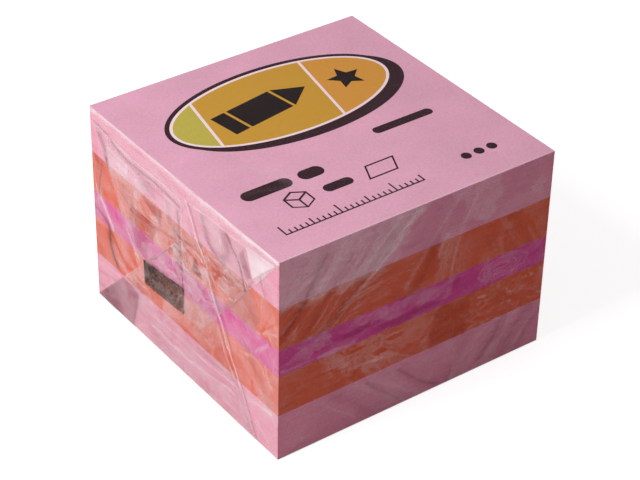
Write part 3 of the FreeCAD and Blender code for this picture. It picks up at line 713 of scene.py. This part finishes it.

# marks on the folded ends, each layer with its own; their painted shade darkens creases and folded patches,
# and their pale crease lines are partly the film's own whitening and partly painted highlights
tuckMarks = [
    line(0.42, 0.34, 0, 0.06, (2.3, 16.1), (3.6, 17.5), (4.8, 19.1), (5.7, 20.2)),
    patch(1, 0.08, 0, 0, (-1, 15), (12, 15), (14, 21), (-1, 21)),
    patch(1, 0.04, 0, 0, (-1, 20.6), (13.5, 20.6), (6, 28), (-1, 28)),
    patch(0.6, 0.1, 0, 0.04, (5.5, 21.2), (9.1, 21.3), (12.5, 24.1), (10.4, 24.4), (7.7, 22.9)),
    patch(0.6, 0.08, 0, 0.04, (6, 25.2), (8.6, 25.2), (10.6, 26.4), (8, 27.4)),
    line(0.3, -0.1, 0, -0.03, (5, 21.1), (6.8, 22.9), (9.1, 24.8), (10.9, 24.9)),
    line(0.2, 0, 0.42, -0.06, (0, 18.4), (1.8, 18.7), (3.4, 19.5), (4.3, 20.5), (4.4, 21.8), (4.5, 23.6),
         (5.5, 25.5), (6.8, 27)),
    line(0.5, 0, 0.16, -0.05, (4.6, 21), (4.9, 23.6), (6.4, 26.2)),
    line(0.16, 0, 0.26, -0.04, (3.1, 8.8), (3, 10.5), (2.3, 12.5), (1.7, 15.5)),
    patch(0.4, 0, 0.1, 0, (0.6, 8.6), (3, 8.6), (2.6, 11.4), (1, 10.6)),
    line(0.22, 0.14, 0, 0.04, (0.4, 12), (1.1, 14), (1.5, 17.5)),
    line(0.26, 0.14, 0, 0.04, (45.6, 15.8), (47.5, 14.4), (50.6, 13)),
    line(0.2, -0.09, 0, -0.04, (46.4, 15), (48.4, 13), (50.5, 10.9)),
    line(0.3, 0.16, 0, 0.04, (45.2, 19.4), (47, 17.4), (48.3, 16)),
    line(0.22, 0.16, 0, 0.04, (47.6, 20.4), (48.4, 22), (49.5, 23.6)),
    line(0.28, 0.12, 0, 0.04, (42.5, 21.8), (45.5, 20.8), (48, 22.4)),
    line(0.3, 0.16, 0, 0.04, (43.5, 29.6), (46, 29.2), (49.5, 28.6)),
    line(0.4, 0.14, 0, 0.04, (45.5, 32.4), (47, 33.2), (48.8, 34.8)),
    line(0.25, 0.16, 0, 0.04, (2.6, 33.8), (4, 33), (5.4, 32.5)),
    line(0.2, 0, 0.2, -0.03, (0, 33.6), (1.4, 33.7), (2.8, 34)),
    patch(1, 0.08, 0, 0, (0, 28), (51, 28), (51, 36.2), (0, 36.2)),
    patch(1, 0.08, 0, 0, (0, 0), (51, 0), (51, 8.3), (0, 8.3)),
    patch(0.3, 0.04, 0.13, 0, (43.4, 9), (46.2, 12.8), (45.4, 16), (37.4, 16)),
    patch(1.4, 0.07, 0, 0, (46, 15.6), (53, 15.6), (53, 29), (41, 29), (37, 18)),
    line(0.16, -0.08, 0, -0.02, (49.6, 9.2), (48.2, 12.2), (46.8, 15)),
    line(0.3, 0.1, 0.03, 0.03, (47.4, 3.4), (47, 5), (46.9, 6.8)),
    line(0.22, 0, 0.2, -0.03, (46.4, 4.6), (46.6, 6.4), (47.4, 7.8)),
    line(0.26, 0, 0.14, -0.03, (42.4, 19.6), (44.4, 21.8), (46.8, 24.6), (48.6, 27.6)),
    line(0.22, 0.12, 0, 0.03, (9, 17.6), (11.2, 18.6), (13.4, 20.6)),
    line(0.35, 0.1, 0, 0.03, (1, 29.4), (5, 28.9), (9, 28.7)),
    line(0.18, 0, 0.16, -0.03, (0.6, 31.2), (4, 30.8), (7.2, 30.2)),
    patch(1.4, 0.05, 0, 0, (48, 26), (53, 26), (53, 38), (44, 38)),
    patch(1, 0.04, 0, 0, (36, 8), (53, 8), (53, 16), (36, 16)),
]
topFlapMarks = [
    # a painted highlight: a bright milky line along the flap's top rim
    line(0.42, 0.36, 0, 0, (0, 0.25), (25, 0.25), (51, 0.2)),
    line(0.4, 0.12, 0, 0.02, (22, 1), (36, 0.8), (44, 0.6), (50.5, 0.4)),
    line(0.16, 0.3, 0, 0.06, (27.5, 2.7), (29.1, 5.9), (30.2, 8.2), (31.8, 10.2), (32.8, 12)),
    line(0.15, 0, 0.2, -0.05, (28, 2.7), (29.6, 5.9), (30.7, 8.2), (32.3, 10.2)),
    patch(0.4, -0.05, 0, 0, (0, 0), (51, 0), (51, 1.2), (27, 2.4), (26, 3.3), (13, 3.2), (0, 2.2)),
    line(0.17, 0, 0.3, -0.05, (0, 2.4), (4.1, 2.6), (6.8, 3.3), (8.6, 3.9), (12.3, 4.3), (17.3, 4.3),
         (20.5, 4.4), (25.5, 4.8)),
    line(0.17, 0.24, 0, 0.06, (0, 2.3), (5.5, 3), (13.6, 3.3), (19, 3.4), (26.1, 3.5)),
    line(0.15, 0.12, 0, 0.04, (18.2, 4.6), (21, 4.9), (23.6, 5.5)),
    line(0.16, 0.26, 0, 0.06, (27.3, 2.6), (33, 2.3), (38, 2.2), (44, 1.8), (50, 1.2)),
    patch(0.9, 0.2, 0, 0.03, (4.8, 4.6), (11.4, 5), (10.5, 7.8), (5.4, 8.2)),
    patch(1.2, 0.07, 0, 0.02, (10, 5), (25, 5.6), (25, 8.2), (10, 8.2)),
    blob(-0.05, 0.1, 0, (16.6, 6.4), (2.4, 1.5)),
    line(0.13, 0.03, 0.16, -0.04, (6.6, 3.9), (12, 4.9), (17, 5.2), (23, 5.9)),
    line(0.5, -0.02, 0.1, -0.03, (0.6, 2.8), (1.6, 5), (2.2, 8.2)),
    line(0.2, 0.05, 0.2, -0.04, (26.6, 8.4), (27.6, 9.4), (29.6, 9.2), (31.2, 8.2)),
    line(0.16, 0, 0.24, -0.05, (26.4, 11.2), (28.2, 11.6), (30.6, 12.6)),
    line(0.16, 0, 0.22, -0.05, (32.4, 6.4), (35, 8), (38.6, 8.8), (41.6, 9)),
    line(0.14, 0, 0.18, -0.04, (33.6, 9.6), (37.2, 10.2), (40.8, 9.8)),
    line(0.14, 0.1, 0, 0.04, (34, 11.4), (37.4, 11.6), (40.4, 10.6)),
    line(0.24, 0.2, 0, 0.06, (0.9, 4.1), (2.5, 5.5), (3.4, 7.3), (3.9, 9.5), (3.6, 10.9)),
    line(0.42, 0.03, 0.26, -0.06, (2.7, 4.1), (3.9, 5.5), (4.4, 6.8), (4.3, 9.1)),
    line(0.18, 0, 0.24, -0.05, (4.5, 7.3), (5.2, 9.1), (6.1, 11.8), (7.5, 14.5), (8.6, 15.7)),
    line(0.22, 0.3, 0, 0.06, (7.4, 15.3), (8.4, 16.2), (9.6, 17.2)),
    line(0.16, 0.18, 0, 0.05, (4, 11.2), (5.5, 13.2), (7.7, 15.5), (9.8, 17.5), (11.8, 19.5)),
    line(0.24, 0.34, 0, 0.06, (11.8, 19.5), (12.6, 20.3), (13.6, 21.3)),
    patch(0.2, 0.05, 0, 0, (5, 8.3), (24, 8.3), (22.4, 15.8), (10, 15.8)),
    patch(0.2, -0.06, 0.2, 0, (15, 8.5), (20.5, 8.5), (20.2, 11.5), (17.3, 10)),
    patch(0.3, -0.02, 0.05, 0, (8, 9.5), (12.4, 8.6), (13.2, 11.6), (8.6, 12)),
    patch(0.2, -0.07, 0.12, 0, (11.6, 12.1), (19.1, 12.1), (17.7, 15.6), (10.9, 15.6)),
    patch(0.2, 0.05, 0, 0, (20.4, 9), (23.2, 8.6), (22.4, 15.4), (18.6, 15.5)),
    line(0.45, 0.1, 0, 0.03, (13.4, 8.6), (13.2, 10.2), (13.3, 11.9)),
    line(0.13, 0, 0.26, -0.04, (9.5, 12.2), (13.6, 12.2), (19.1, 12.4), (22.7, 11.9), (24.5, 11.4)),
    line(0.16, 0, 0.3, -0.05, (22.3, 8.6), (23.2, 9.8), (25.9, 10.1), (29.1, 9.8), (31.8, 10.9),
         (32.5, 11.9)),
    line(0.26, 0, 0.26, -0.06, (24.9, 6), (25.3, 9), (25.4, 13.6), (25.9, 19.4)),
    line(0.36, 0, 0.14, -0.04, (24.4, 9.4), (24.6, 12.4), (24.3, 15.6)),
    line(0.13, 0, 0.22, -0.04, (23.4, 12.6), (24.8, 13), (26.6, 12.5)),
    line(0.13, 0, 0.22, -0.04, (23.2, 14.2), (24.9, 14.6), (26.9, 14)),
    line(0.13, 0, 0.22, -0.04, (23.6, 15.8), (25.2, 16.1), (27.1, 15.6)),
    line(0.14, 0, 0.18, -0.04, (26.2, 10.6), (27.4, 12.6), (27.2, 15.2)),
    line(0.14, 0, 0.16, -0.04, (21.6, 5.8), (22.9, 8.6), (24.2, 10.4)),
    line(0.16, 0.2, 0, 0.06, (26, 5), (26.1, 10), (26.3, 14), (26.6, 18)),
    line(0.45, -0.12, 0, -0.02, (22.6, 13), (22.8, 15.5), (22.7, 18.2)),
    line(0.2, 0.1, 0.05, 0.04, (25.2, 7), (26, 5), (27.5, 2.8)),
    patch(0.25, -0.1, 0.26, 0, (29.6, 11.7), (31.9, 14.9), (28.4, 15)),
    patch(0.5, 0, 0.1, 0, (33, 9.4), (42.6, 8.8), (38.8, 14), (34.6, 13)),
    patch(0.4, -0.02, 0.12, 0, (11.5, 15.7), (16.5, 15.7), (15.6, 20.2), (12.5, 19.4)),
    patch(0.4, 0.02, 0.05, 0, (30.6, 2.6), (43, 2.1), (44.5, 6.8), (42.6, 8.4), (31.6, 6)),
    line(0.45, 0.02, 0.2, -0.05, (31.6, 3.4), (32.2, 5), (33.2, 6.4), (34.5, 7.6), (36.6, 7.5)),
    line(0.5, 0.02, 0.18, -0.05, (37, 3.2), (38, 4.8), (38, 6.2), (37, 8.3)),
    blob(0.12, 0, 0.04, (35.3, 4.9), (1.7, 1.5)),
    line(0.18, 0, 0.42, -0.06, (37.7, 2.5), (39.3, 4.1), (40.9, 5.2), (42, 7.5), (42.6, 9.8)),
    line(0.15, 0.24, 0, 0.06, (39.4, 3.7), (41.3, 5.2), (42.4, 7.4), (43, 9.2)),
    patch(0.3, 0, 0.2, -0.04, (41.2, 4.1), (42.4, 2.7), (44.2, 6.8), (43, 7.3)),
    # a painted highlight: the near-white glare of the flap by the corner, made as a strong veil
    patch(0.25, 0.36, 0, 0.02, (43.2, 2), (50.2, 1.2), (44.6, 6.6)),
    patch(1.2, 0.1, 0, 0, (44, 3), (51, 1.2), (51, 4), (45.4, 7.6)),
    line(0.12, 0.1, 0.25, -0.04, (44.6, 6.9), (42.9, 9.4), (38.8, 14.3), (36.6, 17.2)),
    *bundle(18, 9, 0.16, 0.08, 0.03, [(5, 5), (12, 5.4), (24, 6.4)], [(6, 8.2), (13, 8.2), (24, 8.4)]),
    *bundle(19, 9, 0.14, 0.09, 0.03, [(7, 9), (14, 9.5), (21, 9)], [(9, 15), (14, 15), (20, 15)]),
]
bottomFlapMarks = [
    line(0.28, 0.26, 0, 0.03, (32.3, 11.6), (33.3, 13.2), (34.9, 16.8), (36.2, 19.2)),
    line(0.24, 0.22, 0, 0.03, (36, 18.8), (38.3, 22.7), (40.6, 26.8), (41.6, 28.4)),
    line(0.24, 0.13, 0.06, 0.03, (41.2, 27.9), (43, 30.9), (45, 35.5)),
    line(0.24, 0.12, 0, 0.03, (34.9, 19.3), (37, 23.4), (39.4, 27.2)),
    line(0.2, 0.1, 0.08, 0.03, (39.2, 27), (41.2, 30.4), (43.2, 34.5)),
    line(0.2, 0, 0.2, -0.04, (32.9, 11.8), (34.2, 14.2), (35.5, 17.2)),
    patch(0.8, -0.08, 0.03, 0, (24, 15.7), (36, 15.7), (36, 20.6), (24, 20.6)),
    patch(1, -0.02, 0.06, 0, (11, 28.2), (41, 28.2), (45, 36.6), (11, 36.6)),
    # painted shade: the dark triangle at the lower left corner, which stands in for a dark reflection in the
    # flat film
    blob(-0.02, 0.16, 0, (3, 33.6), (4.6, 5)),
    line(0.4, -0.16, 0, -0.05, (35.9, 19.6), (38, 23.6), (40.4, 27.2)),
    line(0.4, 0.02, 0.1, -0.05, (41.8, 29.4), (43.6, 33), (44.8, 35.8)),
    line(0.15, 0.16, 0, 0.05, (30, 12.6), (31.8, 13.9), (34.6, 17.3)),
    line(0.14, 0.24, 0, 0.05, (13.9, 21.3), (17, 18.2), (21.4, 14.4), (23.9, 12.3)),
    line(0.13, 0, 0.26, -0.05, (15, 21.2), (17.6, 18.6), (21.8, 14.8), (24.2, 12.6)),
    patch(0.5, -0.12, 0, 0, (16.4, 20), (20, 18.4), (25.4, 17.6), (25.4, 18.8), (20, 19.8)),
    patch(0.5, -0.1, 0, 0, (14.9, 20.8), (26.3, 19.2), (26.3, 24.4), (15, 25.2)),
    # painted shade: the dark triangle at the lower left corner, a dark reflection in the flat film
    patch(0.16, -0.03, 0.28, 0, (0, 36.1), (8.2, 27.7), (13, 28.4), (11.1, 36.3), (0, 36.3)),
    line(0.24, 0.2, 0, 0.05, (16.8, 32), (21.8, 32.5), (27.3, 32.3), (34, 31.4), (40, 30.9)),
    line(0.15, 0.24, 0, 0.05, (29, 29.5), (34.5, 29.5), (40.5, 29.1)),
    line(0.15, 0.14, 0, 0.04, (15, 30.1), (20, 30), (25.5, 29.8)),
    line(0.25, 0, 0.14, -0.04, (16.8, 33.6), (21.8, 33.9), (28.2, 33.9), (34.5, 34.5)),
    line(0.2, 0, 0.16, -0.04, (30, 28.3), (35, 28.5), (40, 28.2)),
    patch(0.8, -0.04, 0.05, 0, (28, 20.8), (36, 20.8), (39, 27.5), (28, 27.5)),
    line(0.3, 0, 0.2, -0.03, (11, 27.7), (13, 27.2), (15.5, 27.4)),
    line(0.16, 0.12, 0.08, 0.04, (12, 26.2), (14, 25.8), (16.5, 25.7)),
    *bundle(20, 18, 0.14, 0.07, 0.03, [(15, 28.8), (25, 28.8), (41, 28.4)],
            [(13, 35.4), (27, 35.4), (44, 35.2)]),
    *bundle(21, 12, 0.22, 0.05, 0.03, [(15, 28), (20, 24.5), (26, 20)], [(30, 28), (34, 23.5), (36.5, 20)]),
]
endMarks = {"tuck": tuckMarks, "topFlap": topFlapMarks, "bottomFlap": bottomFlapMarks}


# film: the folded ends
ends = {
    "flap": 24.4,  # length of the top and bottom flaps
    "leftStep": 0.19, "rightStep": 0.36,
    "leftSeed": 100, "rightSeed": 300,
    "rimWide": 0.35, "rimOut": 0.015,
    "foot": 0.004,
    # each layer keeps between two heights over the paper
    "room": {"tuck": (0.02, 0.09), "topFlap": (0.11, 0.19), "bottomFlap": (0.21, 0.315)},
}


def flapCut(point, degrees, off):
    # a cut through a point, at that angle to the panel's level; off is a point on the side that goes
    a = math.radians(degrees)
    normal = (-math.sin(a), math.cos(a))
    if (off[0] - point[0]) * normal[0] + (off[1] - point[1]) * normal[1] < 0:
        normal = (math.sin(a), -math.cos(a))
    return point, normal


cutsOf = {
    "tuck": [],
    "topFlap": [flapCut((0, 0.4), 60, (0, 30)), flapCut((51, 0.4), 130, (51, 30))],
    "bottomFlap": [flapCut((0.2, 36), -45, (0, 10)), flapCut((46.0, 36), -118, (51, 10))],
}


def endPlace(side, low, high, u, v, relief):
    # side -1 is the left end; at its rim a layer dips to the block, where it comes round from the walls
    across, top = block["side"], block["top"]
    span = (high - low) / 2
    w = (low + high) / 2 + span * np.tanh(relief / span)
    rim = np.clip(np.minimum(np.minimum(u, across - u), np.minimum(v, top - v)) / ends["rimWide"], 0, 1)
    w = ends["rimOut"] + (w - ends["rimOut"]) * np.sin(rim * math.pi / 2)
    y = block["wallOut"] * (1 - 2 * u / across)
    z = block["topOut"] - (block["topOut"] - ends["foot"]) * v / top
    return np.stack([side * (block["half"] + w), y, z], 1)


def makeEnd(side, label, step, seed):
    across, high = block["side"], block["top"]
    stray = {
        "tuck": strayCreases(seed, 110, (0, 51, 3, 36), 60, 35, 3, 0.16, 0.12, 0.03),
        "topFlap": strayCreases(seed + 1, 130, (0, 51, 3, 24), 35, 50, 3, 0.15, 0.11, 0.03)
        + strayCreases(seed + 2, 70, (23, 28, 10, 18.6), 5, 14, 2.0, 0.13, 0.2, 0.05)
        + strayCreases(seed + 5, 60, (30, 42, 8.6, 15), -12, 22, 2.6, 0.14, 0.18, 0.05),
        "bottomFlap": strayCreases(seed + 3, 130, (5, 46, 12, 36), -35, 50, 3, 0.15, 0.10, 0.03)
        + strayCreases(seed + 4, 20, (10, 17, 24, 27.6), 5, 14, 2.4, 0.14, 0.10, 0.03),
    }
    spans = {"tuck": (0, high), "topFlap": (0, ends["flap"]), "bottomFlap": (high - ends["flap"], high)}
    for k, (layer, (start, end)) in enumerate(spans.items()):
        # a grid in panel millimetres, trimmed along straight cuts, then laid where it belongs
        bm = newGrid(int(across / step), max(4, int((end - start) / step)))
        for p in bm.verts:
            p.co = ((p.co.x + 0.5) * across, start + (p.co.y + 0.5) * (end - start), 0)
        for point, outward in cutsOf[layer]:
            bmesh.ops.bisect_plane(bm, geom=bm.verts[:] + bm.edges[:] + bm.faces[:], dist=1e-4,
                                   plane_co=(*point, 0), plane_no=(*outward, 0), clear_outer=True)
        flat = np.array([p.co for p in bm.verts])
        u, v = flat[:, 0], flat[:, 1]
        fields = dressFilm(u, v, endMarks[layer] + stray[layer], filmBase[layer], seed + 10 + k)
        spots = endPlace(side, *ends["room"][layer], u, v, fields["relief"])
        newFilm(f"film{label}{layer[0].upper()}{layer[1:]}", bm, spots, fields,
                lambda centre: Vector((side, 0, 0)), [filmEnd])


makeEnd(-1, "Left", ends["leftStep"], ends["leftSeed"])
makeEnd(1, "Right", ends["rightStep"], ends["rightSeed"])

# the printed mark on the left top flap, scuffed and skewed with the flap
mark = {
    "corners": [(14.8, 20.6), (26.2, 19.3), (26.2, 24.3), (15.0, 25.1)],
    "grid": (80, 40),
    "rimFrom": 0.8, "rimRise": 5, "ragged": 0.09, "raggedSize": 0.6, "raggedWaves": 24, "seeds": (71, 72),
    "out": 0.2,  # over the paper
    "turn": (14, 0, 0), "stretch": (1, 0.75, 1.5),
    "scuffScale": 2300.0, "scuff": (6.6, -2.8),
    "cloudScale": 260.0, "cloud": (1.6, -0.8),
    "slope": (85.0, 100.0, 1.65),  # the ink is densest at its upper back corner
    "ink": (0.022, 0.006, 0.004, 1), "worn": (0.205, 0.086, 0.066, 1),
    "roughness": 0.55, "specular": 0.1,
}


def makeMarkInk():
    material, g, shader, _ = newMaterial("scuffed mark ink")
    place = g.place()
    turned = g.mapped(place, mark["turn"], mark["stretch"])
    scuff = g.noise(turned, mark["scuffScale"], 4.0, 0.6)
    broad = g.noise(place, mark["cloudScale"])
    split = g.add("SeparateXYZ", {0: place}).outputs
    alongY, alongZ, offset = mark["slope"]
    dense = g.math("MULTIPLY_ADD", split["Y"], alongY, g.math("MULTIPLY", split["Z"], alongZ))
    dense = g.math("SUBTRACT", dense, offset)
    mixed = g.math("ADD", g.math("MULTIPLY_ADD", scuff, *mark["scuff"]),
                   g.math("MULTIPLY_ADD", broad, *mark["cloud"]))
    amount = g.math("SUBTRACT", mixed, dense, clamp=True)
    g.wire(shader, {
        "Base Color": g.mix(amount, mark["ink"], mark["worn"]),
        "Roughness": mark["roughness"],
        "Specular IOR Level": mark["specular"],
    })
    return material


def makeEyeMark():
    bm = newGrid(*mark["grid"])
    flat = np.array([p.co for p in bm.verts])[:, :2] + 0.5
    s, t = flat[:, 0], flat[:, 1]
    shares = ((1 - s) * (1 - t), s * (1 - t), s * t, (1 - s) * t)
    spots = sum(np.outer(w, c) for w, c in zip(shares, mark["corners"]))
    rim = np.maximum(abs(s - 0.5), abs(t - 0.5)) * 2
    ragged = mark["ragged"] * np.clip((rim - mark["rimFrom"]) * mark["rimRise"], 0, 1)
    for k, seed in enumerate(mark["seeds"]):
        spots[:, k] += ragged * softNoise(spots[:, 0], spots[:, 1], mark["raggedSize"], seed,
                                          mark["raggedWaves"])
    for p, (u, v) in zip(bm.verts, spots):
        p.co = (-(block["half"] + mark["out"]) * mm, (block["half"] - u) * mm, (block["top"] - v) * mm)
    faceOut(bm, lambda centre: Vector((-1, 0, 0)))
    piece = newPiece("eyeMark", bm)
    piece.data.materials.append(makeMarkInk())
    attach(piece, "root")
    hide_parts("eye_mark")
    print("mark made")


makeEyeMark()

# floor, light and camera
stage = {
    "floorHalf": 3.0,
    "floorShade": 0.50,  # the floor's own pale colour
    "floorGlow": 0.80,  # what the camera and reflections see on top of it
    "worldFill": 0.325,
    "fillColour": (1.0, 0.90, 0.91),
    "keyPower": 1.47,
    "keySize": 0.17,
    "keyDistance": 0.40,
    "keyFrom": (-0.745, 0.09, 0.66),
    "keyAim": 0.018,  # height of the point that the key light faces
}
white = (1, 1, 1, 1)


def seenMask(g):
    path = g.add("LightPath").outputs
    both = g.math("MAXIMUM", path["Is Camera Ray"], path["Is Glossy Ray"])
    return g.math("MAXIMUM", both, path["Is Transmission Ray"])


def makeFloor():
    bm = bmesh.new()
    bmesh.ops.create_grid(bm, x_segments=1, y_segments=1, size=stage["floorHalf"])
    floor = newPiece("floor", bm)
    material, g, shader, output = newMaterial("pale floor")
    g.tree.nodes.remove(shader)
    diffuse = g.add("BsdfDiffuse", {"Color": (stage["floorShade"],) * 3 + (1,)})
    strength = g.math("MULTIPLY", seenMask(g), stage["floorGlow"])
    glow = g.add("Emission", {"Color": white, "Strength": strength})
    both = g.add("AddShader", {0: diffuse.outputs[0], 1: glow.outputs[0]})
    g.wire(output, {"Surface": both.outputs[0]})
    floor.data.materials.append(material)


def makeLight():
    world = bpy.data.worlds.new("plain studio")
    bpy.context.scene.world = world
    world.use_nodes = True
    g = Graph(world.node_tree)
    fill = stage["worldFill"]
    g.wire(g.tree.nodes["Background"], {
        "Color": g.mix(seenMask(g), (*stage["fillColour"], 1), white),
        "Strength": g.math("MULTIPLY_ADD", seenMask(g), 1.0 - fill, fill),
    })
    lamp = bpy.data.lights.new("key softbox", "AREA")
    lamp.shape = "SQUARE"
    lamp.size = stage["keySize"]
    lamp.energy = stage["keyPower"]
    key = bpy.data.objects.new("key softbox", lamp)
    bpy.context.scene.collection.objects.link(key)
    toward = Vector(stage["keyFrom"]).normalized()
    key.location = toward * stage["keyDistance"] + Vector((0, 0, stage["keyAim"]))
    key.rotation_euler = toward.to_track_quat("Z", "Y").to_euler()


# fitted to the corners in the photo: degrees, then millimetres
view = {"azimuth": -36.93, "elevation": 35.03, "roll": 1.28, "distance": 327.1,
        "right": 0.43, "up": -3.89, "height": 20.0, "lens": 116.7, "sensor": 36.0}


def makeCamera():
    a, e, r = (math.radians(view[k]) for k in ("azimuth", "elevation", "roll"))
    away = Vector((math.sin(a) * math.cos(e), -math.cos(a) * math.cos(e), math.sin(e)))
    flat = Vector((0, 0, 1)).cross(away).normalized()
    rise = away.cross(flat)
    right = math.cos(r) * flat + math.sin(r) * rise
    up = -math.sin(r) * flat + math.cos(r) * rise
    spot = Vector((0, 0, view["height"])) + view["right"] * right + view["up"] * up + away * view["distance"]
    data = bpy.data.cameras.new("camera")
    data.lens = view["lens"]
    data.sensor_width = view["sensor"]
    data.clip_start, data.clip_end = 0.01, 20.0
    camera = bpy.data.objects.new("camera", data)
    bpy.context.scene.collection.objects.link(camera)
    turn = Matrix((right, up, away)).transposed().to_4x4()
    camera.matrix_world = Matrix.Translation(spot * mm) @ turn
    bpy.context.scene.camera = camera


makeFloor()
makeLight()
makeCamera()
bpy.context.scene.view_settings.view_transform = "Standard"
print("floor, light and camera made")
